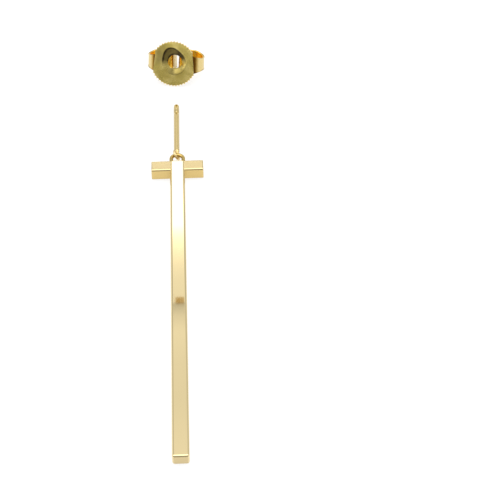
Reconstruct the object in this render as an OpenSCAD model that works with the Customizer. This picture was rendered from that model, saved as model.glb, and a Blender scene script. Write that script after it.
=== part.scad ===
/* [T drop] */
// Length of the long flat bar, from the crossbar's outer side to the free end
bar_l = 50; // [40:0.1:60]
// Width of the long bar
bar_w = 2.05; // [1.6:0.05:2.4]
// Depth of the long bar, front face to back
bar_t = 1.6; // [1.4:0.05:1.7]
// Rounding of the long bar's edges
bar_round = 0.28; // [0.1:0.01:0.3]
// Rounding of the long bar's corners, seen from the front
bar_corner = 0.32; // [0.2:0.01:0.5]
// How far the long bar's face stands proud of the crossbar
bar_proud = 0.05; // [0:0.01:0.1]
// Length of the crossbar
cross_l = 7.2; // [6:0.1:9]
// Width of the crossbar, along the long bar
cross_w = 2; // [1.8:0.05:2.2]
// Depth of the crossbar, front face to back
cross_t = 1.8; // [1.7:0.05:1.9]
// Rounding of the crossbar's edges
cross_round = 0.28; // [0.1:0.01:0.3]
// Rounding of the crossbar's corners, seen from the front
cross_corner = 0.12; // [0.08:0.01:0.2]

/* [Top loop] */
// Centre-line radius of the loop's round end
loop_r = 0.85; // [0.8:0.01:1]
// Radius of the loop's wire
loop_wire = 0.26; // [0.16:0.01:0.27]
// Straight length of each leg of the loop
loop_leg = 0.66; // [0.6:0.01:0.8]
// Height of the loop above the crossbar's back
loop_h = 1.36; // [1.2:0.02:1.4]

/* [Ear post] */
// Radius of the post
post_r = 0.4; // [0.36:0.01:0.42]
// Length of the post from its root to the tip
post_l = 11.5; // [9:0.1:13]
// Depth of the friction notch near the tip
notch_d = 0.06; // [0.03:0.01:0.08]
// Radius of the friction notch's hollow, seen from the side
notch_r = 0.3; // [0.24:0.02:0.4]
// Distance of the friction notch from the tip
notch_at = 2.2; // [1.6:0.1:3]
// Centre-line radius of the eye's round ends
eye_r = 0.6; // [0.58:0.01:0.62]
// Radius of the eye's wire
eye_wire = 0.18; // [0.12:0.01:0.18]
// Straight length of the eye's sides
eye_leg = 0.1; // [0.08:0.02:0.8]
// Turn of the eye about the post
eye_turn = 60; // [58:1:62]

/* [Clutch] */
// Radius of the clutch's disc over the milled rim
disc_r = 3.46; // [3.3:0.02:3.6]
// Half width of the disc between its straight sides, at their lower ends
disc_half = 3.06; // [2.9:0.02:3.1]
// How much narrower each side is at its upper end
disc_in = 0.28; // [0:0.02:0.3]
// Sheet thickness of the disc
disc_t = 0.32; // [0.28:0.02:0.4]
// Radius of the step where the disc's funnel begins
funnel_r = 2.15; // [2:0.05:2.3]
// Half width of the upright hole in the disc
hole_r = 0.96; // [0.9:0.02:1.1]
// Half of the hole's extra height
hole_up = 0.22; // [0:0.02:0.24]
// Number of notches in the milled rim
mill_n = 46; // [36:1:52]
// Radius of each notch
mill_r = 0.2; // [0.12:0.01:0.2]
// Thickness of the scroll strip
strip_t = 0.3; // [0.25:0.01:0.35]
// Height of the scroll strip at the middle
strip_h = 2.7; // [2.3:0.1:2.9]
// Height of the scroll strip at its outer bends
strip_end_h = 1.75; // [1.5:0.05:2.2]
// Overall width of the two scrolls
scroll_w = 8.5; // [8:0.1:9]
// Depth of the scrolls, front to back
scroll_d = 3.9; // [3.9:0.1:4.6]
// Gap between the disc and the scrolls' front walls
scroll_gap = 0.4; // [0.3:0.05:0.6]
// Gap between the scrolls where the post enters
grip_gap = 0.76; // [0.7:0.02:1]
// Gap between the scrolls at their rear, where they pinch the post
rear_gap = 0.12; // [0.1:0.02:0.5]
// How far the scrolls sit below the middle of the disc
strip_down = 0.24; // [0:0.02:0.3]

/* [Hidden] */
$fn = 48;
eps = 0.01;
// The drop lies on the crossbar's lower edge and on the long bar's end
bar_under = cross_t + bar_proud - bar_t;
lie = atan(bar_under / (bar_l - cross_w));
// Where the loop's wire crosses the middle
loop_y = loop_leg + loop_r;
// The eye hangs round the loop's wire, its near end clear inside it
eye_slack = 0.2;
eye_near = loop_y - loop_wire - eye_slack - eye_wire + eye_r;
eye_mid = eye_near + eye_leg / 2;
// The post's rounded root is sunk into the eye's far end
root_sink = 0.24;
root_y = eye_near + eye_leg + eye_r - root_sink;
eye_rise = 0.02;
post_reach = root_y + post_l - post_r - loop_y;
post_drop = asin((loop_h + eye_rise - post_r) / post_reach);
post_x = -0.07;
// The clutch leans back on its rim and on the scrolls' far edges
scroll_at = disc_t + scroll_gap;
scroll_back = scroll_at + scroll_d;
lean = atan((disc_r - strip_h / 2 - strip_down) / (scroll_back - disc_t));
clutch_x = -0.35;
clutch_y = 19.35;
clutch_turn = -9.5;
clutch_z = disc_r * cos(lean) + disc_t * sin(lean);
// The whole part is centred over the origin
shift_y = 12.82;
// How far one piece reaches into another that it is soldered to
sunk = 0.3;

// A rectangle with rounded corners, centred
module round_rect(a, b, r) {
  square([a - 2 * r, b], center = true);
  square([a, b - 2 * r], center = true);
  for (i = [-1, 1])
    for (j = [-1, 1])
      translate([i * (a / 2 - r), j * (b / 2 - r)])
        circle(r = r, $fn = 24);
}

// A bar along x, rounded on every edge, standing on z = 0
module round_bar(l, w, t, edge, corner) {
  translate([0, 0, t / 2])
    intersection() {
      rotate([90, 0, 90])
        linear_extrude(height = l, center = true)
          round_rect(w, t, edge);
      linear_extrude(height = t + 1, center = true)
        round_rect(l, w, corner);
      rotate([90, 0, 0])
        linear_extrude(height = w + 1, center = true)
          round_rect(l, t, edge);
    }
}

// A straight piece of round wire along y
module wire(l, r) {
  rotate([-90, 0, 0])
    cylinder(h = l, r = r, $fn = 32);
}

// Half a ring of round wire, open towards -y
module half_ring(r, wire_r) {
  rotate_extrude(angle = 180, $fn = 64)
    translate([r, 0])
      circle(r = wire_r, $fn = 32);
}

// The loop soldered to the outer side of the crossbar
module top_loop() {
  for (i = [-1, 1])
    translate([i * loop_r, -sunk, loop_h])
      wire(loop_leg + sunk, loop_wire);
  translate([0, loop_leg, loop_h])
    half_ring(loop_r, loop_wire);
}

// Crossbar, long bar and loop, soldered into one piece
module t_drop_flat() {
  translate([0, -cross_w / 2, 0])
    round_bar(cross_l, cross_w, cross_t, cross_round, cross_corner);
  translate([0, -bar_l / 2, bar_under])
    rotate([0, 0, 90])
      round_bar(bar_l, bar_w, bar_t, bar_round, bar_corner);
  top_loop();
}

module t_drop() {
  color("gold")
    translate([0, shift_y - cross_w, 0])
      rotate([lie, 0, 0])
        translate([0, cross_w, 0])
          t_drop_flat();
}

// The post with rounded ends and a friction notch, along y from its root
module post_round() {
  rotate([-90, 0, 0])
    rotate_extrude($fn = 48)
      union() {
        difference() {
          translate([0, post_r])
            square([post_r, post_l - 2 * post_r]);
          translate([post_r + notch_r - notch_d, post_l - notch_at])
            circle(r = notch_r, $fn = 32);
        }
        for (y = [post_r, post_l - post_r])
          intersection() {
            translate([0, y])
              circle(r = post_r, $fn = 48);
            translate([0, y - post_r])
              square([post_r, 2 * post_r]);
          }
      }
}

// The long eye that hangs on the loop, centred, lying along y
module eye() {
  for (i = [-1, 1])
    translate([i * eye_r, -eye_leg / 2, 0])
      wire(eye_leg, eye_wire);
  translate([0, eye_leg / 2, 0])
    half_ring(eye_r, eye_wire);
  translate([0, -eye_leg / 2, 0])
    rotate([0, 0, 180])
      half_ring(eye_r, eye_wire);
}

module ear_post() {
  color("gold")
    translate([post_x, shift_y + loop_y, loop_h + eye_rise])
      rotate([-post_drop, 0, 0])
        union() {
          translate([0, eye_mid - loop_y, 0])
            rotate([0, eye_turn, 0])
              eye();
          translate([0, root_y - loop_y, 0])
            post_round();
        }
}

// The disc's two straight sides, where the sheet is sheared off
module disc_sides() {
  side_h = 1.4;
  out = disc_r + 1;
  through = 8;
  rotate([90, 0, 0])
    linear_extrude(height = through, center = true)
      polygon([
        [-disc_half, -out],
        [disc_half, -out],
        [disc_half, -side_h],
        [disc_half - disc_in, side_h],
        [disc_half - disc_in, out],
        [disc_in - disc_half, out],
        [disc_in - disc_half, side_h],
        [-disc_half, -side_h]
      ]);
}

// The dished disc with its funnel, milled rim and two straight sides
module disc() {
  funnel_d = 0.62;
  step_d = 0.36;
  step_w = 0.16;
  dish_d = 0.1;
  lip = 0.12;
  rim_w = 0.5;
  rim_d = 0.05;
  rim_edge = 0.06;
  throat_t = disc_t * 0.6;
  mill_out = 0.02;
  difference() {
    intersection() {
      rotate([-90, 0, 0])
        rotate_extrude($fn = 96)
          polygon([
            [hole_r, funnel_d],
            [hole_r + lip, funnel_d - lip],
            [funnel_r - step_w, step_d],
            [funnel_r, dish_d],
            [disc_r - rim_w, rim_d],
            [disc_r - rim_edge, 0],
            [disc_r, rim_edge],
            [disc_r, disc_t],
            [funnel_r + step_w / 2, dish_d + disc_t],
            [funnel_r - step_w, step_d + disc_t],
            [hole_r + 2 * lip, funnel_d + throat_t],
            [hole_r, funnel_d + throat_t]
          ]);
      disc_sides();
    }
    for (i = [-1, 1])
      translate([0, -1, i * hole_up])
        wire(3, hole_r);
    for (i = [0 : mill_n - 1])
      rotate([0, i * 360 / mill_n, 0])
        translate([disc_r + mill_out, -1, 0])
          wire(3, mill_r);
  }
}

// A long round-ended shape from y = 0 back to y = d
module stadium(w, d) {
  translate([0, w / 2])
    circle(d = w, $fn = 64);
  translate([0, d - w / 2])
    circle(d = w, $fn = 64);
  translate([-w / 2, w / 2])
    square([w, d - w]);
}

// One scroll of the strip, seen along its height, to the right of the grip
module scroll_2d() {
  w = (scroll_w - grip_gap) / 2;
  middle = grip_gap / 2 + w / 2;
  mouth = w / 2 - 0.5;
  curl = 0.42;
  curl_cut = 0.1;
  bend = 0.45;
  bend_x = rear_gap / 2 + bend;
  // The front wall and the two outer bends
  translate([middle, 0])
    difference() {
      stadium(w, scroll_d);
      translate([0, strip_t])
        stadium(w - 2 * strip_t, scroll_d - 2 * strip_t);
      translate([-w / 2 - eps, -eps])
        square([mouth, w / 2 + eps]);
      translate([-w / 2 - eps, w / 2 - eps])
        square([w / 2 + eps, scroll_d]);
    }
  // The rear wall, its bend by the post, and the wall that slants back to the curl
  translate([bend_x - eps, scroll_d - strip_t])
    square([middle - bend_x + 3 * eps, strip_t]);
  translate([bend_x, scroll_d - bend])
    difference() {
      circle(r = bend, $fn = 48);
      circle(r = bend - strip_t, $fn = 48);
      translate([-1, -2])
        square(2);
      translate([0, -1])
        square(2);
    }
  polygon([
    [rear_gap / 2, scroll_d - bend + eps],
    [rear_gap / 2 + strip_t, scroll_d - bend + eps],
    [grip_gap / 2 + strip_t, w / 2 - eps],
    [grip_gap / 2, w / 2 - eps]
  ]);
  translate([grip_gap / 2 + strip_t + curl, w / 2])
    difference() {
      circle(r = curl + strip_t, $fn = 48);
      circle(r = curl, $fn = 48);
      translate([-2, 0])
        square([4, 2]);
      translate([curl_cut, -2])
        square([2, 4]);
    }
}

// The strip is cut narrower towards its outer bends
module strip_taper() {
  wide = disc_half - 0.35;
  end = scroll_w / 2;
  through = 20;
  rotate([90, 0, 0])
    linear_extrude(height = through, center = true)
      polygon([
        [0, -strip_h / 2],
        [wide, -strip_h / 2],
        [end, -strip_end_h / 2],
        [end + 1, -strip_end_h / 2],
        [end + 1, strip_end_h / 2],
        [end, strip_end_h / 2],
        [wide, strip_h / 2],
        [0, strip_h / 2]
      ]);
}

// One scroll with the solder pad that joins it to the disc
module scroll() {
  pad_at = 1.7;
  pad_w = 1;
  pad_h = 1.8;
  intersection() {
    translate([0, scroll_at, -strip_h / 2])
      linear_extrude(height = strip_h)
        scroll_2d();
    strip_taper();
  }
  translate([pad_at, scroll_at - scroll_gap - sunk / 3, -pad_h / 2])
    cube([pad_w, scroll_gap + sunk / 3 + strip_t / 2, pad_h]);
}

module clutch() {
  color("gold")
    translate([clutch_x, shift_y + clutch_y, clutch_z])
      rotate([0, 0, clutch_turn])
        rotate([-lean, 0, 0])
          union() {
            disc();
            translate([0, 0, -strip_down]) {
              scroll();
              mirror([1, 0, 0])
                scroll();
            }
          }
}

t_drop();
ear_post();
clutch();
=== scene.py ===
import math

import bmesh
import bpy
from mathutils import Matrix, Vector, noise


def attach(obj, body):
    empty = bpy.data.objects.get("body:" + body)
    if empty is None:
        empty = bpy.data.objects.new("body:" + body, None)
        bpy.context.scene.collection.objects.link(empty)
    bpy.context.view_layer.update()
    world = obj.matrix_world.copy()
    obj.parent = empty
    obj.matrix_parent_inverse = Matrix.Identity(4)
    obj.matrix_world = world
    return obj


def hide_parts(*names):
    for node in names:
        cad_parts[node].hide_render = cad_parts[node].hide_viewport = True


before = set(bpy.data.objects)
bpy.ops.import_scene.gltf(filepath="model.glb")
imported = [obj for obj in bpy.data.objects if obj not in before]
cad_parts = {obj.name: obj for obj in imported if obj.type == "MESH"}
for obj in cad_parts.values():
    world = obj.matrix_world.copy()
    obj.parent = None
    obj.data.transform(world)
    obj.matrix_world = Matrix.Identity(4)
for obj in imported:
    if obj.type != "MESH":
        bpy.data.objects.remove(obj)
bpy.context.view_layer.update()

# The long bar
# A flat bar of yellow gold, sawn from drawn stock, its edges eased and its face
# polished to a mirror. It is let into the crossbar and lies on its far end.
mm = 0.001
BAR_LONG = 50.0 * mm
BAR_WIDE = 2.05 * mm
BAR_DEEP = 1.6 * mm
BAR_CORNER = 0.32 * mm
BAR_EDGE = 0.28 * mm
BAR_PROUD = 0.05 * mm
BAR_GOLD = (0.85, 0.70, 0.39)
# The end faces' darker tone is painted shade.
FILED_SHADED_GOLD = (0.66, 0.53, 0.29)
CROSS_WIDE = 2.0 * mm
CROSS_DEEP = 1.8 * mm
JOINT_Y = 12.82 * mm
bar_under = CROSS_DEEP + BAR_PROUD - BAR_DEEP
lie = math.atan(bar_under / (BAR_LONG - CROSS_WIDE))
drop_place = (
    Matrix.Translation((0, JOINT_Y - CROSS_WIDE, 0))
    @ Matrix.Rotation(lie, 4, "X")
    @ Matrix.Translation((0, CROSS_WIDE, 0))
)


def rounded_block(low, high, along, side_round, end_round, steps):
    """A block whose edges along one axis are rounded first, and then the rims of its ends."""
    work = bmesh.new()
    bmesh.ops.create_cube(work, size=1.0)
    size = Vector(high) - Vector(low)
    middle = (Vector(high) + Vector(low)) / 2
    bmesh.ops.scale(work, vec=size, verts=work.verts)
    bmesh.ops.translate(work, vec=middle, verts=work.verts)
    sides = [e for e in work.edges if abs(e.verts[0].co[along] - e.verts[1].co[along]) > size[along] / 2]
    bmesh.ops.bevel(work, geom=sides, offset=side_round, segments=steps, profile=0.5, affect="EDGES")
    for end in (1, -1):
        rim = [e for e in work.edges if len({f.normal[along] * end > 0.9 for f in e.link_faces}) == 2]
        bmesh.ops.bevel(work, geom=rim, offset=end_round, segments=steps, profile=0.5, affect="EDGES")
    return work


def piece_from(work, name, place, sharp_above=180.0):
    """Turns worked metal into a finished piece in its place, with smooth true normals."""
    work.transform(place)
    bmesh.ops.recalc_face_normals(work, faces=work.faces)
    for face in work.faces:
        face.smooth = True
    for edge in work.edges:
        if len(edge.link_faces) == 2 and edge.calc_face_angle(0) > math.radians(sharp_above):
            edge.smooth = False
    mesh = bpy.data.meshes.new(name)
    work.to_mesh(mesh)
    work.free()
    piece = bpy.data.objects.new(name, mesh)
    bpy.context.scene.collection.objects.link(piece)
    return piece


def keep_flats_flat(piece, least_mm2=0.8):
    """Gives each flat face its own true normal, so that only the rounded edges shade round."""
    mesh = piece.data
    directions = [vertex.normal.copy() for vertex in mesh.vertices]
    for face in mesh.polygons:
        if face.area > least_mm2 * mm * mm:
            for index in face.vertices:
                directions[index] = face.normal.copy()
    mesh.normals_split_custom_set_from_vertices(directions)


def add(tree, kind, **settings):
    """One node with its settings."""
    node = tree.nodes.new(kind)
    for key, value in settings.items():
        setattr(node, key, value)
    return node


def gold(name, tone):
    """Solid yellow gold, before its finish."""
    material = bpy.data.materials.new(name)
    material.use_nodes = True
    shader = material.node_tree.nodes["Principled BSDF"]
    shader.inputs["Base Color"].default_value = (*tone, 1)
    shader.inputs["Metallic"].default_value = 1.0
    return material, material.node_tree, shader


def grain(tree, size_mm, detail=2.0, turn=(0, 0, 0), uneven=0.5, uv=None):
    """A random pattern whose patches are size_mm long along each axis."""
    if uv:
        source = add(tree, "ShaderNodeUVMap", uv_map=uv).outputs["UV"]
    else:
        source = add(tree, "ShaderNodeTexCoord").outputs["Object"]
    aimed = add(tree, "ShaderNodeMapping")
    aimed.inputs["Rotation"].default_value = turn
    scaled = add(tree, "ShaderNodeMapping")
    scaled.inputs["Scale"].default_value = [1 / (size * mm) for size in size_mm]
    pattern = add(tree, "ShaderNodeTexNoise")
    pattern.inputs["Scale"].default_value = 1.0
    pattern.inputs["Detail"].default_value = detail
    pattern.inputs["Roughness"].default_value = uneven
    tree.links.new(source, aimed.inputs["Vector"])
    tree.links.new(aimed.outputs["Vector"], scaled.inputs["Vector"])
    tree.links.new(scaled.outputs["Vector"], pattern.inputs["Vector"])
    return pattern.outputs["Fac"]


def ranged(tree, value, low, high, start=0.0, end=1.0):
    """Runs from low to high while the value goes from start to end."""
    node = add(tree, "ShaderNodeMapRange", interpolation_type="SMOOTHSTEP")
    tree.links.new(value, node.inputs["Value"])
    for socket, number in (("From Min", start), ("From Max", end), ("To Min", low), ("To Max", high)):
        node.inputs[socket].default_value = number
    return node.outputs["Result"]


def sums(tree, operation, first, second):
    """One sum with two values, each a number or what another node gives."""
    node = add(tree, "ShaderNodeMath", operation=operation)
    for socket, value in zip(node.inputs, (first, second)):
        if isinstance(value, (int, float)):
            socket.default_value = value
        else:
            tree.links.new(value, socket)
    return node.outputs[0]


def toned(tree, shader, factor, tone, other_tone):
    """Colours the gold between two tones, of which the first may be an earlier toning."""
    node = add(tree, "ShaderNodeMix", data_type="RGBA")
    tree.links.new(factor, node.inputs[0])
    if isinstance(tone, tuple):
        node.inputs[6].default_value = (*tone, 1)
    else:
        tree.links.new(tone, node.inputs[6])
    node.inputs[7].default_value = (*other_tone, 1)
    tree.links.new(node.outputs[2], shader.inputs["Base Color"])
    return node.outputs[2]


def relief(tree, shader, height, depth_mm, over=None):
    """Raises the surface by depth_mm where the height is 1."""
    node = add(tree, "ShaderNodeBump")
    node.inputs["Distance"].default_value = depth_mm * mm
    tree.links.new(height, node.inputs["Height"])
    if over:
        tree.links.new(over, node.inputs["Normal"])
    tree.links.new(node.outputs["Normal"], shader.inputs["Normal"])
    return node.outputs["Normal"]


def mirror_polish():
    """Mirror polish with faint hairlines, soft smears and a barely wavy face, its ends left from the file:
    rougher, and painted darker as shade.
    """
    material, tree, shader = gold("mirror_gold", BAR_GOLD)
    cloud = grain(tree, (2.0, 6.0, 2.0))
    filed_and_shaded = add(tree, "ShaderNodeAttribute", attribute_name="filed_and_shaded").outputs["Fac"]
    duller_and_shaded = sums(tree, "MAXIMUM", filed_and_shaded, sums(tree, "MULTIPLY", cloud, 0.1))
    toned(tree, shader, duller_and_shaded, BAR_GOLD, FILED_SHADED_GOLD)
    hair = ranged(tree, grain(tree, (0.03, 4.0, 0.03), detail=1.0), 0.0, 1.0, 0.66, 0.74)
    stray = grain(tree, (0.02, 2.5, 0.4), detail=1.0, turn=(0, 0, 0.6))
    stray = ranged(tree, stray, 0.0, 1.0, 0.70, 0.76)
    lines = sums(tree, "MAXIMUM", hair, stray)
    smear = ranged(tree, grain(tree, (1.2, 3.0, 1.2), detail=3.0), 0.018, 0.04, 0.45, 0.8)
    rough = sums(tree, "ADD", smear, sums(tree, "MULTIPLY", lines, 0.05))
    rough = sums(tree, "ADD", rough, sums(tree, "MULTIPLY", filed_and_shaded, 0.28))
    tree.links.new(rough, shader.inputs["Roughness"])
    wave = relief(tree, shader, grain(tree, (3.0, 7.0, 3.0), detail=0.0), 0.0004)
    relief(tree, shader, lines, -0.00006, wave)
    return material


work = rounded_block(
    (-BAR_WIDE / 2, -BAR_LONG, bar_under),
    (BAR_WIDE / 2, 0, bar_under + BAR_DEEP),
    along=2, side_round=BAR_CORNER, end_round=BAR_EDGE, steps=6)
long_bar = piece_from(work, "long_bar", drop_place)
keep_flats_flat(long_bar)
filed_and_shaded = long_bar.data.attributes.new("filed_and_shaded", "FLOAT", "FACE")
# The end faces are rougher from the file, and painted darker as shade.
for face in long_bar.data.polygons:
    filed_and_shaded.data[face.index].value = 1.0 if abs(face.normal.y) > 0.9 else 0.0
long_bar.data.materials.append(mirror_polish())
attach(long_bar, "root")
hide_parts("t_drop")

# The crossbar
# A flattened rod of the same gold, brushed along its length, its edges rubbed
# round and bright. The long bar passes through it, soldered flush with its back.
CROSS_LONG = 7.2 * mm
CROSS_CORNER = 0.12 * mm
CROSS_EDGE = 0.28 * mm
ROD_GOLD = (0.70, 0.55, 0.27)
ROD_GOLD_LIGHT = (0.77, 0.63, 0.35)
# The front face's deeper tone is painted shade.
ROD_GOLD_FRONT_SHADE = (0.70, 0.52, 0.21)


def brushed():
    """Fine strokes along the rod, a little deeper and duller here and there, its front face painted deeper
    in tone as shade.
    """
    material, tree, shader = gold("brushed_gold", ROD_GOLD)
    worn = add(tree, "ShaderNodeAttribute", attribute_name="burnished").outputs["Fac"]
    strokes = grain(tree, (2.2, 0.035, 0.035), detail=3.0, uneven=0.6)
    long_strokes = grain(tree, (6.0, 0.09, 0.09))
    front = add(tree, "ShaderNodeAttribute", attribute_name="front").outputs["Fac"]
    metal = toned(tree, shader, long_strokes, ROD_GOLD, ROD_GOLD_LIGHT)
    toned(tree, shader, front, metal, ROD_GOLD_FRONT_SHADE)
    rough = sums(tree, "ADD", ranged(tree, strokes, 0.24, 0.38), ranged(tree, long_strokes, -0.03, 0.03))
    rough = sums(tree, "ADD", rough, sums(tree, "MULTIPLY", worn, -0.18))
    tree.links.new(rough, shader.inputs["Roughness"])
    fine = relief(tree, shader, strokes, 0.0016)
    relief(tree, shader, long_strokes, 0.0022, fine)
    return material


work = rounded_block(
    (-CROSS_LONG / 2, -CROSS_WIDE, 0),
    (CROSS_LONG / 2, 0, CROSS_DEEP),
    along=0, side_round=CROSS_EDGE, end_round=CROSS_CORNER, steps=6)
crossbar = piece_from(work, "crossbar", drop_place)
keep_flats_flat(crossbar)
for name in ("burnished", "front"):
    crossbar.data.attributes.new(name, "FLOAT", "FACE")
for face in crossbar.data.polygons:
    crossbar.data.attributes["burnished"].data[face.index].value = float(face.area < mm * mm)
    # Front faces get the painted shade.
    crossbar.data.attributes["front"].data[face.index].value = float(face.normal.y < -0.8)
crossbar.data.materials.append(brushed())
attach(crossbar, "root")
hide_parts("t_drop")

# The loop on the crossbar
# A U of round gold wire, bent on a mandrel, its two feet soldered to the
# crossbar's outer side, a little way into it.
LOOP_BEND = 0.85 * mm
LOOP_WIRE = 0.26 * mm
LOOP_LEG = 0.66 * mm
LOOP_HIGH = 1.36 * mm
FOOT_SUNK = 0.25 * mm
# Painted shade for the post's flanks.
FLANK_SHADE_GOLD = (0.56, 0.43, 0.20)
loop_y = LOOP_LEG + LOOP_BEND


def drawn_wire(name, dull, clear, soft):
    """Drawn wire: faint drawing lines, cloudy from soldering, with painted shade on its flanks."""
    material, tree, shader = gold(name, dull)
    lines = grain(tree, (0.05, 1.8, 0.05))
    cloud = grain(tree, (0.5, 0.9, 0.5))
    metal = toned(tree, shader, cloud, dull, clear)
    flank_shade = add(tree, "ShaderNodeAttribute", attribute_name="flank_shade").outputs["Fac"]
    toned(tree, shader, flank_shade, metal, FLANK_SHADE_GOLD)
    rough = sums(tree, "ADD", ranged(tree, lines, soft, soft + 0.1), ranged(tree, cloud, -0.02, 0.05))
    tree.links.new(rough, shader.inputs["Roughness"])
    relief(tree, shader, lines, 0.0007)
    return material


# The loop's tones are painted darker than the post's, as shade that dims its highlights.
loop_gold_shaded = drawn_wire("loop_gold_shaded", dull=(0.50, 0.35, 0.11), clear=(0.66, 0.50, 0.18), soft=0.16)


def wire_tree():
    """Geometry nodes that draw round wire along a bent path."""
    tree = bpy.data.node_groups.new("bent_wire", "GeometryNodeTree")
    sockets = tree.interface
    sockets.new_socket("Path", in_out="INPUT", socket_type="NodeSocketGeometry")
    sockets.new_socket("Wire radius", in_out="INPUT", socket_type="NodeSocketFloat")
    sockets.new_socket("Sides", in_out="INPUT", socket_type="NodeSocketInt")
    sockets.new_socket("Metal", in_out="INPUT", socket_type="NodeSocketMaterial")
    sockets.new_socket("Wire", in_out="OUTPUT", socket_type="NodeSocketGeometry")
    given = add(tree, "NodeGroupInput")
    result = add(tree, "NodeGroupOutput")
    as_curve = add(tree, "GeometryNodeMeshToCurve")
    ring = add(tree, "GeometryNodeCurvePrimitiveCircle")
    draw = add(tree, "GeometryNodeCurveToMesh")
    draw.inputs["Fill Caps"].default_value = True
    real = add(tree, "GeometryNodeRealizeInstances")
    metal = add(tree, "GeometryNodeSetMaterial")
    join = tree.links.new
    join(given.outputs["Path"], as_curve.inputs[0])
    join(given.outputs["Sides"], ring.inputs["Resolution"])
    join(given.outputs["Wire radius"], ring.inputs["Radius"])
    join(as_curve.outputs[0], draw.inputs["Curve"])
    join(ring.outputs["Curve"], draw.inputs["Profile Curve"])
    join(draw.outputs["Mesh"], real.inputs[0])
    join(real.outputs[0], metal.inputs["Geometry"])
    join(given.outputs["Metal"], metal.inputs["Material"])
    join(metal.outputs["Geometry"], result.inputs["Wire"])
    return tree


bent_wire = wire_tree()


def grown(start_work, tree, name, values, place):
    """Runs a tree on a path or a wedge, and keeps the result as a plain mesh in its place."""
    start = bpy.data.meshes.new(name)
    start_work.to_mesh(start)
    start_work.free()
    piece = bpy.data.objects.new(name, start)
    bpy.context.scene.collection.objects.link(piece)
    grower = piece.modifiers.new("grow", "NODES")
    grower.node_group = tree
    sockets = {item.name: item.identifier for item in tree.interface.items_tree if item.in_out == "INPUT"}
    for label, value in values.items():
        grower[sockets[label]] = value
    ready = piece.evaluated_get(bpy.context.evaluated_depsgraph_get())
    plain = bpy.data.meshes.new_from_object(ready)
    piece.modifiers.clear()
    piece.data = plain
    work = bmesh.new()
    work.from_mesh(plain)
    bmesh.ops.remove_doubles(work, verts=work.verts, dist=1e-8)
    work.transform(place)
    bmesh.ops.recalc_face_normals(work, faces=work.faces)
    for face in work.faces:
        face.smooth = True
    work.to_mesh(plain)
    work.free()
    return piece


def path_of(points, closed=False):
    """A chain of straight edges for a wire to follow."""
    work = bmesh.new()
    stops = [work.verts.new(point) for point in points]
    for first, second in zip(stops, stops[1:]):
        work.edges.new((first, second))
    if closed:
        work.edges.new((stops[-1], stops[0]))
    return work


def arc(middle, radius, start, end, steps):
    """Points on an arc in the plan, from one angle in degrees to another."""
    turns = [math.radians(start + (end - start) * i / steps) for i in range(steps + 1)]
    return [Vector((middle[0] + radius * math.cos(t), middle[1] + radius * math.sin(t), 0)) for t in turns]


feet = [Vector((side * LOOP_BEND, y, 0)) for side, y in ((1, -FOOT_SUNK), (1, 0), (1, LOOP_LEG / 2))]
bend = arc((0, LOOP_LEG), LOOP_BEND, 0, 180, 40)
other_feet = [Vector((-foot.x, foot.y, 0)) for foot in reversed(feet)]
top_loop = grown(
    path_of(feet + bend + other_feet), bent_wire, "top_loop",
    {"Wire radius": LOOP_WIRE, "Sides": 24, "Metal": loop_gold_shaded},
    drop_place @ Matrix.Translation((0, 0, LOOP_HIGH)))
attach(top_loop, "root")
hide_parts("t_drop")

# The ear post
# A straight drawn wire with both ends rounded and a friction notch turned near
# the tip. A closed eye of thin wire is soldered to its root and hangs on the loop.
POST_RADIUS = 0.4 * mm
POST_LONG = 11.5 * mm
NOTCH_DEEP = 0.04 * mm
NOTCH_ROUND = 0.6 * mm
NOTCH_FROM_TIP = 2.2 * mm
POST_X = -0.07 * mm
EYE_BEND = 0.6 * mm
EYE_WIRE = 0.18 * mm
EYE_SIDE = 0.1 * mm
EYE_TURN = math.radians(60)
EYE_SLACK = 0.2 * mm
EYE_RISE = 0.02 * mm
ROOT_SUNK = 0.24 * mm
ROUND_STEPS = 8
PLAIN_STEPS = 24
FLANK_FROM = 0.6
FLANK_FADE = 0.2
eye_near = loop_y - LOOP_WIRE - EYE_SLACK - EYE_WIRE + EYE_BEND
eye_middle = eye_near + EYE_SIDE / 2
root_y = eye_near + EYE_SIDE + EYE_BEND - ROOT_SUNK
reach = root_y + POST_LONG - POST_RADIUS - loop_y
post_drop = math.asin((LOOP_HIGH + EYE_RISE - POST_RADIUS) / reach)
post_place = (
    Matrix.Translation((POST_X, JOINT_Y + loop_y, LOOP_HIGH + EYE_RISE))
    @ Matrix.Rotation(-post_drop, 4, "X")
    @ Matrix.Translation((0, root_y - loop_y, 0))
)


def turned(profile, name, place, sides):
    """Turns a profile of radius and distance pairs about the y axis, with closed ends."""
    work = bmesh.new()
    rings = []
    for radius, along in profile:
        if radius == 0:
            rings.append([work.verts.new((0, along, 0))])
            continue
        turns = [2 * math.pi * i / sides for i in range(sides)]
        rings.append([work.verts.new((radius * math.cos(t), along, radius * math.sin(t))) for t in turns])
    for near, far in zip(rings, rings[1:]):
        for i in range(sides):
            j = (i + 1) % sides
            if len(near) == 1:
                work.faces.new((near[0], far[i], far[j]))
            elif len(far) == 1:
                work.faces.new((near[i], near[j], far[0]))
            else:
                work.faces.new((near[i], near[j], far[j], far[i]))
    return piece_from(work, name, place)


def rises(value, start, over):
    """0 up to the start, then evenly up to 1 over a length."""
    return max(0.0, min(1.0, (value - start) / over))


def falls(value, end, over):
    """Down from 1, evenly over a length, to 0 at the end."""
    return max(0.0, min(1.0, (end - value) / over))


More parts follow.
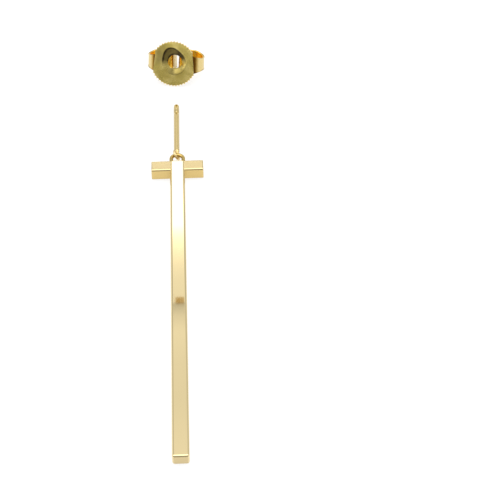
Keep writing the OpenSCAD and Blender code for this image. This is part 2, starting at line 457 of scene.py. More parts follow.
profile = []
for i in range(ROUND_STEPS + 1):
    t = math.pi / 2 * i / ROUND_STEPS
    profile.append((POST_RADIUS * math.sin(t), POST_RADIUS * (1 - math.cos(t))))
profile[0] = (0, 0)
notch_y = POST_LONG - NOTCH_FROM_TIP
notch_half = math.sqrt(NOTCH_ROUND**2 - (NOTCH_ROUND - NOTCH_DEEP)**2)
plain_long = notch_y - notch_half - POST_RADIUS
for i in range(1, PLAIN_STEPS + 1):
    profile.append((POST_RADIUS, POST_RADIUS + plain_long * i / PLAIN_STEPS))
for i in range(1, ROUND_STEPS + 1):
    along = -notch_half + 2 * notch_half * i / ROUND_STEPS
    hollow = math.sqrt(NOTCH_ROUND**2 - along**2) - (NOTCH_ROUND - NOTCH_DEEP)
    profile.append((POST_RADIUS - hollow, notch_y + along))
for i in range(ROUND_STEPS + 1):
    t = math.pi / 2 * i / ROUND_STEPS
    profile.append((POST_RADIUS * math.cos(t), POST_LONG - POST_RADIUS * (1 - math.sin(t))))
profile[-1] = (0, POST_LONG)
wire_gold = drawn_wire("wire_gold", dull=(0.80, 0.61, 0.26), clear=(0.87, 0.70, 0.34), soft=0.12)
post_wire = turned(profile, "post_wire", post_place, sides=48)
# The post's sides get painted shade.
flank_shade = post_wire.data.attributes.new("flank_shade", "FLOAT", "POINT")
for vertex in post_wire.data.vertices:
    off_middle = abs(vertex.co.x - POST_X) / POST_RADIUS
    flank_shade.data[vertex.index].value = rises(off_middle, FLANK_FROM, FLANK_FADE)
post_wire.data.materials.append(wire_gold)
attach(post_wire, "root")
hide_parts("ear_post")

# The eye is rougher than the post and painted a little darker as shade, to dim its highlight.
eye_gold_shaded = drawn_wire("eye_gold_shaded", dull=(0.74, 0.57, 0.27), clear=(0.80, 0.63, 0.32), soft=0.30)
eye_route = arc((0, EYE_SIDE / 2), EYE_BEND, 0, 180, 24) + arc((0, -EYE_SIDE / 2), EYE_BEND, 180, 360, 24)
eye_place = (
    post_place
    @ Matrix.Translation((0, eye_middle - root_y, 0))
    @ Matrix.Rotation(EYE_TURN, 4, "Y")
)
post_eye = grown(
    path_of(eye_route, closed=True), bent_wire, "post_eye",
    {"Wire radius": EYE_WIRE, "Sides": 20, "Metal": eye_gold_shaded},
    eye_place)
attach(post_eye, "root")
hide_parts("ear_post")

# The solder at the eye
# A small uneven drop of gold solder between the eye's far end and the post's
# root, rubbed flat.
SOLDER_AT = Vector((-0.04, 14.83, 1.50)) * mm
SOLDER_HALF = Vector((0.20, 0.19, 0.07)) * mm
SOLDER_TILT = math.radians(16)
SOLDER_UNEVEN = 0.08
SOLDER_BULGE = 0.7

work = bmesh.new()
bmesh.ops.create_uvsphere(work, u_segments=32, v_segments=20, radius=1.0)
for vertex in work.verts:
    vertex.co *= 1 + SOLDER_UNEVEN * noise.noise(vertex.co * 1.7)
    vertex.co.z = math.copysign(abs(vertex.co.z) ** SOLDER_BULGE, vertex.co.z)
bmesh.ops.scale(work, vec=SOLDER_HALF, verts=work.verts)
solder_place = Matrix.Translation(SOLDER_AT) @ Matrix.Rotation(SOLDER_TILT, 4, "X")
root_solder = piece_from(work, "root_solder", solder_place)
root_solder.data.materials.append(wire_gold)
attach(root_solder, "root")
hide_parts("ear_post")

# The clutch's disc
# A round of gold sheet, dished and punched with a funnel that guides the post,
# its rim milled and two sides sheared straight. It stands on its lower rim.
DISC_RADIUS = 3.46 * mm
DISC_HALF = 3.06 * mm
DISC_IN = 0.28 * mm
DISC_SHEET = 0.32 * mm
DISC_THINNED = 0.6
SIDE_HIGH = 1.4 * mm
HOLE_RADIUS = 0.96 * mm
HOLE_UP = 0.10 * mm
HOLE_ASIDE = 0.17 * mm
PUNCHED_X = 0.09 * mm
PUNCHED_UP = 0.16 * mm
FUNNEL_RADIUS = 2.2 * mm
FUNNEL_LEAST = 1.78 * mm
FUNNEL_PEAK = 0.62 * mm
PEAK_TOWARDS = 112
PEAK_SPREAD = 36
FUNNEL_DEEP = 0.56 * mm
FUNNEL_CURVE = 1.25
STEP_WIDE = 0.2
STEP_PART = 0.45
SHALLOW_PART = 0.75
DISH_DEEP = 0.08 * mm
DENT_DEEP = 0.03 * mm
DENT_LONG = 1.6 * mm
MILL_COUNT = 46
MILL_RADIUS = 0.2 * mm
MILL_OUT = 0.02 * mm
MILL_WORN = 0.03 * mm
RIM_STILL = 0.3 * mm
STRIP_HIGH = 2.7 * mm
STRIP_DOWN = 0.24 * mm
SCROLL_DEEP = 3.9 * mm
SCROLL_GAP = 0.4 * mm
CLUTCH_X = -0.35 * mm
CLUTCH_Y = 19.35 * mm
CLUTCH_TURN = math.radians(-9.5)

# Directions on the disc, in degrees from its right side upwards: the middle one,
# the reach to each side of it, and how much of that reach fades.
STEPPED = (100, 105, 35)
SHALLOW = (-155, 75, 40)
GLINT_SHADED_TOWARDS = (-72, 62, 30)
TOP_SHADED_TOWARDS = (95, 60, 40)

# Where painted shade, the rim's wear with its painted highlight, and milling start or end,
# and the length over which they fade: in parts of the way out, in degrees, or across the disc and up it.
HOLE_LINE = (0.24, 0.08)
EDGE_LINE = (0.62, 0.14)
SHADE_END = (1.035, 0.05)
RIGHT_SIDE = (130, 70)
SHADED_LEFT = (0.2 * mm, 2.4 * mm)
SHADED_UP = (-0.9 * mm, 1.3 * mm)
MILLED = (0.75, 0.25)
CUT = (0.975, 0.01)
SHEARED = (DISC_RADIUS - 0.03 * mm, 0.05 * mm)
RUBBED_RIM_HIGHLIGHT = (DISC_RADIUS - 0.11 * mm, 0.05 * mm)

# How strong the painted shade is, from 0 to 1.
BETWEEN_SHADE = 0.80
RIGHT_SHADE = 0.18
GLINT_SHADE = 0.50
LEFT_SHADE = 0.50
TOP_SHADE = 0.17
CUT_SHADE = 0.62

SHEET_GOLD = (0.82, 0.63, 0.21)
STAINED_GOLD = (0.71, 0.56, 0.145)
CLEAR_GOLD = (0.94, 0.76, 0.25)
# The rubbed rim is worn, and painted brighter as a highlight.
RUBBED_HIGHLIGHT_GOLD = (1.0, 0.76, 0.34)
# Painted shade, in the funnel's recess and on patches of the disc.
SHADE_BROWN = (0.06, 0.042, 0.018)

scroll_y = DISC_SHEET + SCROLL_GAP
lean = math.atan((DISC_RADIUS - STRIP_HIGH / 2 - STRIP_DOWN) / (scroll_y + SCROLL_DEEP - DISC_SHEET))
clutch_z = DISC_RADIUS * math.cos(lean) + DISC_SHEET * math.sin(lean)
clutch_place = (
    Matrix.Translation((CLUTCH_X, JOINT_Y + CLUTCH_Y, clutch_z))
    @ Matrix.Rotation(CLUTCH_TURN, 4, "Z")
    @ Matrix.Rotation(-lean, 4, "X")
)


def worn_sheet():
    """Stamped sheet, dulled and finely scratched by wear, painted dark as shade in its recess and in
    patches, its rim worn by rubbing and painted bright as a highlight.
    """
    material, tree, shader = gold("worn_sheet_gold", SHEET_GOLD)
    blotch = grain(tree, (1.1, 1.1, 1.1), detail=4.0, uneven=0.6)
    rubbed_highlight = add(tree, "ShaderNodeAttribute", attribute_name="rubbed_highlight").outputs["Fac"]
    painted_shade = add(tree, "ShaderNodeAttribute", attribute_name="painted_shade").outputs["Fac"]
    stain = ranged(tree, grain(tree, (1.7, 1.7, 1.7), detail=3.0), 0.0, 1.0, 0.36, 0.64)
    metal = toned(tree, shader, stain, STAINED_GOLD, CLEAR_GOLD)
    metal = toned(tree, shader, rubbed_highlight, metal, RUBBED_HIGHLIGHT_GOLD)
    # Painted shade, a little patchy.
    patchy = sums(tree, "MULTIPLY", painted_shade, ranged(tree, blotch, 0.93, 1.04, 0.3, 0.7))
    toned(tree, shader, patchy, metal, SHADE_BROWN)
    scratches = 0.0
    for turn in (0.5, 1.6, 2.5):
        marks = ranged(tree, grain(tree, (0.03, 0.8, 0.8), turn=(0, turn, 0)), 0.0, 1.0, 0.66, 0.74)
        scratches = sums(tree, "MAXIMUM", scratches, marks)
    rough = sums(tree, "ADD", ranged(tree, blotch, 0.20, 0.34), sums(tree, "MULTIPLY", scratches, 0.12))
    rough = sums(tree, "ADD", rough, sums(tree, "MULTIPLY", painted_shade, 0.3))
    tree.links.new(rough, shader.inputs["Roughness"])
    dents = relief(tree, shader, blotch, 0.012)
    relief(tree, shader, scratches, -0.002, dents)
    return material


worn_gold = worn_sheet()


def around_tree():
    """Geometry nodes that repeat one wedge around the y axis and weld the ring."""
    tree = bpy.data.node_groups.new("wedges_around", "GeometryNodeTree")
    sockets = tree.interface
    sockets.new_socket("Wedge", in_out="INPUT", socket_type="NodeSocketGeometry")
    sockets.new_socket("Count", in_out="INPUT", socket_type="NodeSocketInt")
    sockets.new_socket("Weld distance", in_out="INPUT", socket_type="NodeSocketFloat")
    sockets.new_socket("Metal", in_out="INPUT", socket_type="NodeSocketMaterial")
    sockets.new_socket("Disc", in_out="OUTPUT", socket_type="NodeSocketGeometry")
    given = add(tree, "NodeGroupInput")
    result = add(tree, "NodeGroupOutput")
    places = add(tree, "GeometryNodeMeshLine")
    number = add(tree, "GeometryNodeInputIndex")
    share = add(tree, "ShaderNodeMath", operation="DIVIDE")
    turn = add(tree, "ShaderNodeMath", operation="MULTIPLY")
    turn.inputs[1].default_value = 2 * math.pi
    about_y = add(tree, "ShaderNodeCombineXYZ")
    repeat = add(tree, "GeometryNodeInstanceOnPoints")
    real = add(tree, "GeometryNodeRealizeInstances")
    weld = add(tree, "GeometryNodeMergeByDistance")
    metal = add(tree, "GeometryNodeSetMaterial")
    join = tree.links.new
    places.inputs["Offset"].default_value = (0, 0, 0)
    join(given.outputs["Count"], places.inputs["Count"])
    join(number.outputs[0], share.inputs[0])
    join(given.outputs["Count"], share.inputs[1])
    join(share.outputs[0], turn.inputs[0])
    join(turn.outputs[0], about_y.inputs["Y"])
    join(places.outputs[0], repeat.inputs["Points"])
    join(given.outputs["Wedge"], repeat.inputs["Instance"])
    join(about_y.outputs[0], repeat.inputs["Rotation"])
    join(repeat.outputs[0], real.inputs[0])
    join(real.outputs[0], weld.inputs[0])
    join(given.outputs["Weld distance"], weld.inputs["Distance"])
    join(weld.outputs[0], metal.inputs["Geometry"])
    join(given.outputs["Metal"], metal.inputs["Material"])
    join(metal.outputs["Geometry"], result.inputs["Disc"])
    return tree


FUNNEL_STOPS = (
    0.03, 0.08, 0.15, 0.23, 0.32, 0.41, 0.50, 0.59,
    0.67, 0.74, 0.79, 0.83, 0.87, 0.91, 0.95, 0.98)
FRONT_STOPS_MM = (2.2, 2.3, 2.5, 2.7, 2.9, 3.1, 3.25, 3.33, 3.37)
BACK_STOPS_MM = (3.3, 3.0, 2.7, 2.4, 2.2)
BACK_FUNNEL_STOPS = (0.9, 0.7, 0.5, 0.3, 0.1)
WEDGE_STEPS = 8


def wedge_work():
    """The disc's section turned through one pitch of its milling, still without dish or funnel."""
    wide = FUNNEL_RADIUS - HOLE_RADIUS
    front = [(HOLE_RADIUS, 0.05 * mm)]
    front += [(HOLE_RADIUS + wide * share, 0.0) for share in FUNNEL_STOPS]
    front += [(radius * mm, 0.0) for radius in FRONT_STOPS_MM]
    # The rim's outline, its edges eased in front and behind.
    rim = [
        (DISC_RADIUS - 0.06 * mm, 0.004 * mm),
        (DISC_RADIUS - 0.02 * mm, 0.02 * mm),
        (DISC_RADIUS, 0.06 * mm),
        (DISC_RADIUS, DISC_SHEET - 0.05 * mm),
        (DISC_RADIUS - 0.015 * mm, DISC_SHEET - 0.015 * mm),
        (DISC_RADIUS - 0.05 * mm, DISC_SHEET),
    ]
    back = [(radius * mm, DISC_SHEET) for radius in BACK_STOPS_MM]
    for share in BACK_FUNNEL_STOPS:
        thinned = DISC_THINNED + (1 - DISC_THINNED) * share
        back.append((HOLE_RADIUS + wide * share, DISC_SHEET * thinned))
    back.append((HOLE_RADIUS + 0.03 * mm, DISC_SHEET * DISC_THINNED))
    back.append((HOLE_RADIUS, DISC_SHEET * DISC_THINNED - 0.04 * mm))
    section = front + rim + back
    pitch = 2 * math.pi / MILL_COUNT
    work = bmesh.new()
    columns = []
    for i in range(WEDGE_STEPS + 1):
        turn = pitch * (i / WEDGE_STEPS - 0.5)
        columns.append([
            work.verts.new((radius * math.cos(turn), along, radius * math.sin(turn)))
            for radius, along in section])
    count = len(section)
    for near, far in zip(columns, columns[1:]):
        for k in range(count):
            m = (k + 1) % count
            work.faces.new((near[k], near[m], far[m], far[k]))
    return work


def rim_reach(turn, milled):
    """How far the rim lies from the hole's middle: milled, and sheared off at both sides, where
    the cut lies further in above than below."""
    pitch = 2 * math.pi / MILL_COUNT
    notch_at = round(turn / pitch)
    off = abs(turn - notch_at * pitch) * DISC_RADIUS
    worn = MILL_WORN * noise.noise(Vector((notch_at * 0.7, 0.0, 0.0)))
    notch = max(0.0, math.sqrt(max(0.0, MILL_RADIUS**2 - off**2)) - MILL_OUT + worn)
    across, up = math.cos(turn), math.sin(turn)
    distance = DISC_RADIUS - notch * milled
    if abs(across) > 1e-4:
        low = DISC_HALF / abs(across)
        high = (DISC_HALF - DISC_IN) / abs(across)
        slope = DISC_IN / (2 * SIDE_HIGH)
        middle = (DISC_HALF - DISC_IN / 2) / (abs(across) + slope * up)
        if middle * up < -SIDE_HIGH:
            side = low
        elif middle * up > SIDE_HIGH:
            side = high
        else:
            side = middle
        distance = min(distance, side)
    return distance


def apart(turn, degrees):
    """The angle in degrees between a direction on the disc and another."""
    angle = abs(math.degrees(turn) - degrees) % 360
    return min(angle, 360 - angle)


def towards(turn, middle, reach, fade):
    """1 in one direction on the disc, fading out at its reach to each side."""
    return falls(apart(turn, middle), reach, fade)


def punched(share, step, shallow):
    """How deep the punch drew the sheet, from the hole at 0 to the funnel's outer edge at 1."""
    slope = (1 - share) ** FUNNEL_CURVE
    drawn = falls(share, 1, STEP_WIDE)
    edge = STEP_PART * step * drawn * drawn * (3 - 2 * drawn)
    return FUNNEL_DEEP * ((1 - STEP_PART * step) * (1 - shallow) * slope + edge)


clutch_disc = grown(
    wedge_work(), around_tree(), "clutch_disc",
    {"Count": MILL_COUNT, "Weld distance": 0.001 * mm, "Metal": worn_gold}, Matrix())
for name in ("painted_shade", "rubbed_highlight"):
    clutch_disc.data.attributes.new(name, "FLOAT", "POINT")
painted_shade = clutch_disc.data.attributes["painted_shade"]
rubbed_highlight = clutch_disc.data.attributes["rubbed_highlight"]
for vertex in clutch_disc.data.vertices:
    flat = vertex.co.copy()
    radius = math.hypot(flat.x, flat.z)
    turn = math.atan2(flat.z, flat.x)
    across, up = math.cos(turn), math.sin(turn)
    step = towards(turn, *STEPPED)
    peak = math.exp(-(apart(turn, PEAK_TOWARDS) / PEAK_SPREAD) ** 2)
    funnel_edge = FUNNEL_LEAST + FUNNEL_PEAK * peak
    share = (radius - HOLE_RADIUS) / (FUNNEL_RADIUS - HOLE_RADIUS)
    if share < 1.001:
        # The funnel, with its outermost ring: painted shade as dark lines round the hole and at the step,
        # and between them.
        share = min(1.0, share)
        place = HOLE_RADIUS + (funnel_edge - HOLE_RADIUS) * share
        vertex.co.y += DISH_DEEP + punched(share, step, SHALLOW_PART * towards(turn, *SHALLOW))
        between = BETWEEN_SHADE + RIGHT_SHADE * falls(math.degrees(turn), *RIGHT_SIDE)
        shade_amount = max(falls(share, *HOLE_LINE), rises(share, *EDGE_LINE), between)
        shade_amount *= step * falls(share, *SHADE_END)
        painted_shade.data[vertex.index].value = max(shade_amount, GLINT_SHADE * towards(turn, *GLINT_SHADED_TOWARDS))
    else:
        # The dish and the rim: milled, sheared at the sides, lightly dented, painted shade along the cut,
        # at the left and towards the top, and a painted highlight on the worn rim.
        outer = (radius - FUNNEL_RADIUS) / (DISC_RADIUS - FUNNEL_RADIUS)
        place = funnel_edge + (rim_reach(turn, rises(outer, *MILLED)) - funnel_edge) * outer
        dent = noise.noise(Vector((flat.x, 0.0, flat.z)) / DENT_LONG)
        vertex.co.y += DISH_DEEP * (1 - outer) + DENT_DEEP * dent * (1 - abs(outer - 0.5) * 2)
        # Painted shade along the sheared cut, at the left and towards the top.
        sheared = falls(rim_reach(turn, 0.0), *SHEARED)
        cut = CUT_SHADE * sheared * rises(outer, *CUT)
        left = falls(flat.x, *SHADED_LEFT) * rises(flat.z, *SHADED_UP)
        shade_amount = LEFT_SHADE * left * min(1.0, 3 - 3 * outer)
        painted_shade.data[vertex.index].value = max(shade_amount, TOP_SHADE * towards(turn, *TOP_SHADED_TOWARDS), cut)
        # The rim is worn, and painted brighter as a highlight.
        rubbed_highlight.data[vertex.index].value = rises(radius, *RUBBED_RIM_HIGHLIGHT) * (1 - sheared)
    oval = falls(place, funnel_edge, funnel_edge - HOLE_RADIUS)
    moved = falls(place, DISC_RADIUS - RIM_STILL, DISC_RADIUS - RIM_STILL - funnel_edge)
    vertex.co.x = place * across + HOLE_ASIDE * oval * max(0.0, across) + PUNCHED_X * moved
    vertex.co.z = place * up + HOLE_UP * oval * max(0.0, up) + PUNCHED_UP * moved
clutch_disc.data.transform(clutch_place)
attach(clutch_disc, "root")
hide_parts("clutch")

# The clutch's scrolls
# Two strips of the same sheet, rolled into springs behind the disc and soldered
# to its back. Their curled ends pinch the post between them.
STRIP_SHEET = 0.3 * mm
STRIP_END_HIGH = 1.75 * mm
STRIP_EDGE = 0.06 * mm
STRIP_THINNED = 0.75
SCROLLS_WIDE = 8.5 * mm
TAPER_FROM = DISC_HALF - 0.35 * mm
GRIP_GAP = 0.76 * mm
REAR_GAP = 0.12 * mm
REAR_BEND = 0.45 * mm
MOUTH_BACK = 0.5 * mm
CURL = 0.42 * mm
CURL_OVER = 0.1 * mm
CURL_STEPS = 16
# Painted shade inside the curl.
CURL_SHADE = 0.08
BEHIND_TO = 3.55 * mm
BEHIND_FADE = 0.5 * mm
GRIP_HIGH = 0.6 * mm
GRIP_FADE = 0.1 * mm
STRIP_GOLD = (0.70, 0.57, 0.28)
# Painted warm reflection inside the bends, painted highlight at the grip, painted shade behind the disc.
BOUNCE_WARM_GOLD = (0.96, 0.64, 0.10)
GRIP_HIGHLIGHT_GOLD = (1.0, 0.99, 0.94)
CREVICE_SHADE_BROWN = (0.17, 0.068, 0.006)


def rolled_strip():
    """Rolled strip: painted warm reflection inside its bends, painted shade behind the disc and in its
    curl, a painted highlight where the grip is worn by rubbing.
    """
    material, tree, shader = gold("rolled_strip_gold", STRIP_GOLD)
    lines = grain(tree, (1.6, 0.05, 0.05), detail=3.0, uv="along_strip")
    cloud = grain(tree, (0.7, 0.7, 0.7), detail=3.0)
    inner = add(tree, "ShaderNodeAttribute", attribute_name="inner_side").outputs["Fac"]
    crevice_shade = add(tree, "ShaderNodeAttribute", attribute_name="crevice_shade").outputs["Fac"]
    rubbed_highlight = add(tree, "ShaderNodeAttribute", attribute_name="rubbed_highlight").outputs["Fac"]
    warm = sums(tree, "MAXIMUM", inner, crevice_shade)
    warm = sums(tree, "MAXIMUM", warm, sums(tree, "MULTIPLY", cloud, 0.2))
    metal = toned(tree, shader, warm, STRIP_GOLD, BOUNCE_WARM_GOLD)
    metal = toned(tree, shader, rubbed_highlight, metal, GRIP_HIGHLIGHT_GOLD)
    toned(tree, shader, crevice_shade, metal, CREVICE_SHADE_BROWN)
    rough = sums(tree, "ADD", ranged(tree, lines, 0.16, 0.30), ranged(tree, cloud, -0.03, 0.06))
    tree.links.new(rough, shader.inputs["Roughness"])
    fine = relief(tree, shader, lines, 0.0012)
    relief(tree, shader, cloud, 0.006, fine)
    return material


strip_gold = rolled_strip()
scroll_w = (SCROLLS_WIDE - GRIP_GAP) / 2
scroll_x = GRIP_GAP / 2 + scroll_w / 2
bend_r = scroll_w / 2 - STRIP_SHEET / 2
front_y = scroll_w / 2
rear_y = SCROLL_DEEP - scroll_w / 2
mouth_turn = -90 - math.degrees(math.asin(MOUTH_BACK / bend_r))
curl_r = CURL + STRIP_SHEET / 2
rear_bend = Vector((REAR_GAP / 2 + REAR_BEND, SCROLL_DEEP - REAR_BEND))
curl_end = 270 + math.degrees(math.asin(CURL_OVER / curl_r))


def strip_half_height(x):
    """Half of the strip's height, less towards the outer bend."""
    share = rises(abs(x), TAPER_FROM, SCROLLS_WIDE / 2 - TAPER_FROM)
    return (STRIP_HIGH + (STRIP_END_HIGH - STRIP_HIGH) * share) / 2


def strip_route():
    """The strip's middle line in the plan, from its mouth behind the disc to its curled end."""
    route = arc((scroll_x, front_y), bend_r, mouth_turn, 0, 36)
    route += arc((scroll_x, rear_y), bend_r, 0, 90, 24)
    route += arc(rear_bend, REAR_BEND - STRIP_SHEET / 2, 90, 180, 12)
    route += arc((GRIP_GAP / 2 + STRIP_SHEET + CURL, front_y), curl_r, 180, curl_end, CURL_STEPS)
    points = [route[0]]
    for point in route[1:]:
        if (point - points[-1]).length > 0.01 * mm:
            points.append(point)
    return points


def strip_section(high, thin):
    """The strip's section as pairs of outwards and up, with eased corners."""
    turns = (math.pi / 2, math.pi / 4, 0)
    corner = [(STRIP_EDGE * (1 - math.cos(t)), STRIP_EDGE * (1 - math.sin(t))) for t in turns]
    section = []
    for out, up in ((1, 1), (-1, 1), (-1, -1), (1, -1)):
        quarter = corner if out * up > 0 else corner[::-1]
        for less_out, less_up in quarter:
            section.append((out * (STRIP_SHEET / 2 - less_out) * thin, up * (high - less_up)))
    return section


def scroll(side, name):
    """One rolled strip, its section swept along its route and thinned at both ends."""
    points = strip_route()
    curl_from = len(points) - CURL_STEPS
    run = [0.0]
    for near, far in zip(points, points[1:]):
        run.append(run[-1] + (far - near).length)
    work = bmesh.new()
    along_strip = work.loops.layers.uv.new("along_strip")
    inner_side = work.faces.layers.float.new("inner_side")
    crevice_shade = work.verts.layers.float.new("crevice_shade")
    rubbed_highlight = work.verts.layers.float.new("rubbed_highlight")
    rings = []
    for i, point in enumerate(points):
        ahead = points[min(i + 1, len(points) - 1)] - points[max(i - 1, 0)]
        out = Vector((ahead.y, -ahead.x, 0)).normalized()
        to_end = min(run[i], run[-1] - run[i])
        thin = min(1.0, STRIP_THINNED + (1 - STRIP_THINNED) * to_end / STRIP_EDGE)
        section = strip_section(strip_half_height(point.x), thin)
        behind = falls(point.x, BEHIND_TO, BEHIND_FADE) * falls(point.y, front_y, BEHIND_FADE)
        grip = falls(point.x, GRIP_GAP / 2 + STRIP_SHEET, GRIP_FADE)
        grip *= rises(point.y, front_y, GRIP_FADE) * falls(point.y, SCROLL_DEEP - REAR_BEND, GRIP_FADE)
        ring = []
        for outwards, up in section:
            x = side * (point.x + out.x * outwards)
            vertex = work.verts.new((x, point.y + out.y * outwards, up))
            outside = 1.0 if outwards > 0 else 0.0
            # Painted shade on the outer face behind the disc and in the curl; painted highlight where the
            # grip is worn.
            vertex[crevice_shade] = CURL_SHADE if i >= curl_from else outside * behind * (1 - grip)
            vertex[rubbed_highlight] = outside * grip * falls(up, GRIP_HIGH, 2 * GRIP_FADE)
            ring.append(vertex)
        rings.append(ring)
    count = len(section)
    for i, (near, far) in enumerate(zip(rings, rings[1:])):
        for k in range(count):
            m = (k + 1) % count
            sheet_face = work.faces.new((near[k], far[k], far[m], near[m]))
            # Inner faces and the curl get the painted warm reflection.
            inside = section[k][0] < 0 and section[m][0] < 0
            sheet_face[inner_side] = 1.0 if inside or i >= curl_from else 0.0
            for loop, along in zip(sheet_face.loops, (run[i], run[i + 1], run[i + 1], run[i])):
                loop[along_strip].uv = (along, loop.vert.co.z)
    work.faces.new(rings[0])
    work.faces.new(list(reversed(rings[-1])))
    bmesh.ops.translate(work, vec=(0, scroll_y, -STRIP_DOWN), verts=work.verts)
    return piece_from(work, name, clutch_place, sharp_above=50.0)


for side, name in ((1, "right_scroll"), (-1, "left_scroll")):
    strip = scroll(side, name)
    strip.data.materials.append(strip_gold)
    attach(strip, "root")
    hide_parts("clutch")

# The solder pads
# Two small lumps of solder that fill the gap between the disc's back and the
# strips' front walls.
PAD_AT = 2.2 * mm
PAD_WIDE = 1.0 * mm
PAD_HIGH = 1.8 * mm
PAD_IN = 0.02 * mm
PAD_ROUND = 0.15 * mm
PAD_END_ROUND = 0.1 * mm

for side, name in ((1, "right_pad"), (-1, "left_pad")):
    pad_low = (side * PAD_AT - PAD_WIDE / 2, DISC_SHEET - PAD_IN, -STRIP_DOWN - PAD_HIGH / 2)
    pad_high = (side * PAD_AT + PAD_WIDE / 2, scroll_y + STRIP_SHEET / 2, PAD_HIGH / 2 - STRIP_DOWN)
    work = rounded_block(
        pad_low, pad_high, along=2, side_round=PAD_ROUND, end_round=PAD_END_ROUND, steps=3)
    pad = piece_from(work, name, clutch_place)
    pad.data.materials.append(worn_gold)
    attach(pad, "root")
    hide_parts("clutch")

# The table
# A plain light table of matt white plastic, lit from within and far wider than
# the view. The piece lies on it.
TABLE_HALF = 3.0
table_mesh = bpy.data.meshes.new("table")
corners = [(-TABLE_HALF, -TABLE_HALF, 0), (TABLE_HALF, -TABLE_HALF, 0)]
corners += [(TABLE_HALF, TABLE_HALF, 0), (-TABLE_HALF, TABLE_HALF, 0)]
table_mesh.from_pydata(corners, [], [(0, 1, 2, 3)])
table = bpy.data.objects.new("table", table_mesh)
bpy.context.scene.collection.objects.link(table)
table_white = bpy.data.materials.new("table_white")
table_white.use_nodes = True
white = table_white.node_tree.nodes["Principled BSDF"]
white.inputs["Base Color"].default_value = (0.22, 0.22, 0.22, 1)
white.inputs["Roughness"].default_value = 0.85
white.inputs["Specular IOR Level"].default_value = 0.2
white.inputs["Emission Color"].default_value = (1.0, 1.0, 1.0, 1)
white.inputs["Emission Strength"].default_value = 0.79
table_mesh.materials.append(table_white)

# The light
# A soft tent: a narrow white card above and behind the piece, an even ceiling
# past it, darker towards the viewer, and a wide lamp that whitens the table.
CARD_X = -0.02
BRIGHTEST = 3.0
SPOT_X = (-0.0264, -0.0202)
SPOT_HIGH = (48.63, 48.89)
SPOT_SOFT_X = 0.0006
SPOT_SOFT_HIGH = 0.03
SPOT_TINT = (0.57, 0.42, 0.21)
LAMP_AT = (0.0, 0.1, 0.8)
LAMP_SIZE = 0.9
LAMP_WATTS = 2.9

studio = bpy.data.worlds.new("studio")
bpy.context.scene.world = studio
studio.use_nodes = True
sky = studio.node_tree

# A direction is told by its height in degrees, from 0 at the far horizon over 90
# straight up to 180 at the viewer's, and by how far it lies aside of the card.
facing = add(sky, "ShaderNodeTexCoord")
axes = add(sky, "ShaderNodeSeparateXYZ")
sky.links.new(facing.outputs["Generated"], axes.inputs[0])
height = sums(sky, "MULTIPLY", sums(sky, "ARCTAN2", axes.outputs["Z"], axes.outputs["Y"]), 180 / math.pi)
across = sums(sky, "SUBTRACT", axes.outputs["X"], CARD_X)
aside = sums(sky, "ABSOLUTE", across, 0)


def bands(value, low, high, stops):
    """Light that changes from stop to stop, each a place between low and high and a strength."""
    share = add(sky, "ShaderNodeMapRange")
    sky.links.new(value, share.inputs["Value"])
    share.inputs["From Min"].default_value = low
    share.inputs["From Max"].default_value = high
    node = add(sky, "ShaderNodeValToRGB")
    sky.links.new(share.outputs["Result"], node.inputs[0])
    steps = node.color_ramp.elements
    while len(steps) < len(stops):
        steps.new(0.5)
    for step, (place, strength) in zip(steps, stops):
        step.position = (place - low) / (high - low)
        step.color = (*[strength / BRIGHTEST] * 3, 1)
    return sums(sky, "MULTIPLY", node.outputs["Color"], BRIGHTEST)


# The tent by height and to its sides, the card, and the dark line beyond the card.
tent = bands(height, 0, 180, (
    (0, 0.75), (30, 0.82), (46, 1.0), (49.8, 1.02), (51.3, 0.93), (52.8, 0.91), (54.8, 0.98), (58, 1.0),
    (62, 2.3), (108, 2.3), (116, 0.45), (125, 0.38), (180, 0.42)))
card = bands(height, 36, 56, (
    (36.3, 0.0), (38.3, 1.7), (45.66, 1.7), (45.96, 1.1), (46.26, 0.65), (46.66, 0.38), (46.96, 0.27),
    (47.36, 0.13), (47.86, 0.03), (48.36, 0.0)))
dip = bands(height, 48, 52, (
    (48.66, 0.0), (48.82, 0.0), (48.88, 0.42), (49.06, 0.30), (49.36, 0.15), (49.76, 0.05), (50.06, 0.0)))
card_wide = bands(aside, 0, 0.4, ((0.035, 1.0), (0.06, 0.0)))
tent_wide = bands(aside, 0, 1, ((0.25, 1.0), (0.85, 0.74)))

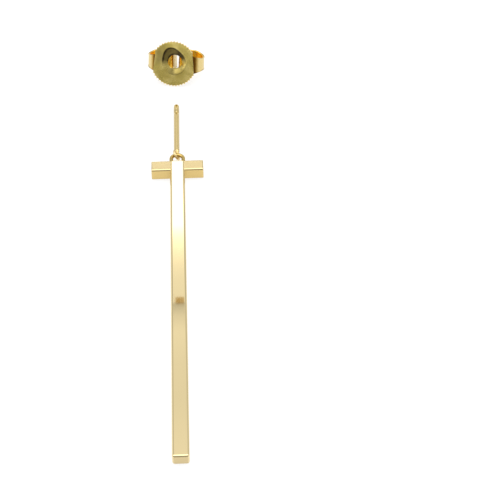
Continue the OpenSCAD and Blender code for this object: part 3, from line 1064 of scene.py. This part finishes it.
# Duller wings of the tent, low on both sides of the card and darker on the left.
wing_high = bands(height, 30, 70, (
    (34, 0.0), (40, 1.0), (46.5, 1.0), (51, 0.4), (57, 0.15), (62, 0.0)))
wing_wide = bands(aside, 0, 1, (
    (0.06, 0.0), (0.11, 1.0), (0.36, 1.0), (0.48, 0.4), (0.70, 0.3), (0.85, 0.0)))
wings = sums(sky, "MULTIPLY", wing_high, wing_wide)
kept = sums(sky, "SUBTRACT", 1.0, sums(sky, "MULTIPLY", dip, card_wide))
roof = sums(sky, "MULTIPLY", sums(sky, "MULTIPLY", tent, tent_wide), kept)
wing_dark = ranged(sky, across, 0.62, 0.45, -0.02, 0.02)
roof = sums(sky, "MULTIPLY", roof, sums(sky, "SUBTRACT", 1.0, sums(sky, "MULTIPLY", wings, wing_dark)))
glow = sums(sky, "ADD", roof, sums(sky, "MULTIPLY", card, card_wide))

# A small warm patch beyond the card shows as a brown spot in the bar's face.
inside = 1.0
for value, (near, far), soft in (
        (axes.outputs["X"], SPOT_X, SPOT_SOFT_X),
        (height, SPOT_HIGH, SPOT_SOFT_HIGH)):
    inside = sums(sky, "MULTIPLY", inside, ranged(sky, value, 0.0, 1.0, near - soft, near + soft))
    inside = sums(sky, "MULTIPLY", inside, ranged(sky, value, 1.0, 0.0, far - soft, far + soft))
tint = add(sky, "ShaderNodeMix", data_type="RGBA")
sky.links.new(inside, tint.inputs[0])
tint.inputs[6].default_value = (1.0, 1.0, 1.0, 1)
tint.inputs[7].default_value = (*SPOT_TINT, 1)
background = sky.nodes["Background"]
sky.links.new(tint.outputs[2], background.inputs["Color"])
sky.links.new(glow, background.inputs["Strength"])

lamp_data = bpy.data.lights.new("table_lamp", "AREA")
lamp_data.shape = "SQUARE"
lamp_data.size = LAMP_SIZE
lamp_data.energy = LAMP_WATTS
lamp = bpy.data.objects.new("table_lamp", lamp_data)
bpy.context.scene.collection.objects.link(lamp)
lamp.location = LAMP_AT
lamp.visible_glossy = False
bpy.context.scene.view_settings.view_transform = "Standard"

# The camera
# A long lens that looks down at the piece at 46 degrees, from 19 centimetres away
# beyond the long bar's free end.
CAMERA_AT = Vector((4.283, -132.825, 135.250)) * mm
AIM_AT = Vector((8.807, -2.294, 0.0)) * mm
CAMERA_ROLL = math.radians(-0.501)
camera_data = bpy.data.cameras.new("camera")
camera_data.sensor_width = 36.0
camera_data.lens = 104.06
camera = bpy.data.objects.new("camera", camera_data)
bpy.context.scene.collection.objects.link(camera)
aim = (AIM_AT - CAMERA_AT).to_track_quat("-Z", "Y").to_matrix().to_4x4()
camera.matrix_world = Matrix.Translation(CAMERA_AT) @ aim @ Matrix.Rotation(CAMERA_ROLL, 4, "Z")
bpy.context.scene.camera = camera
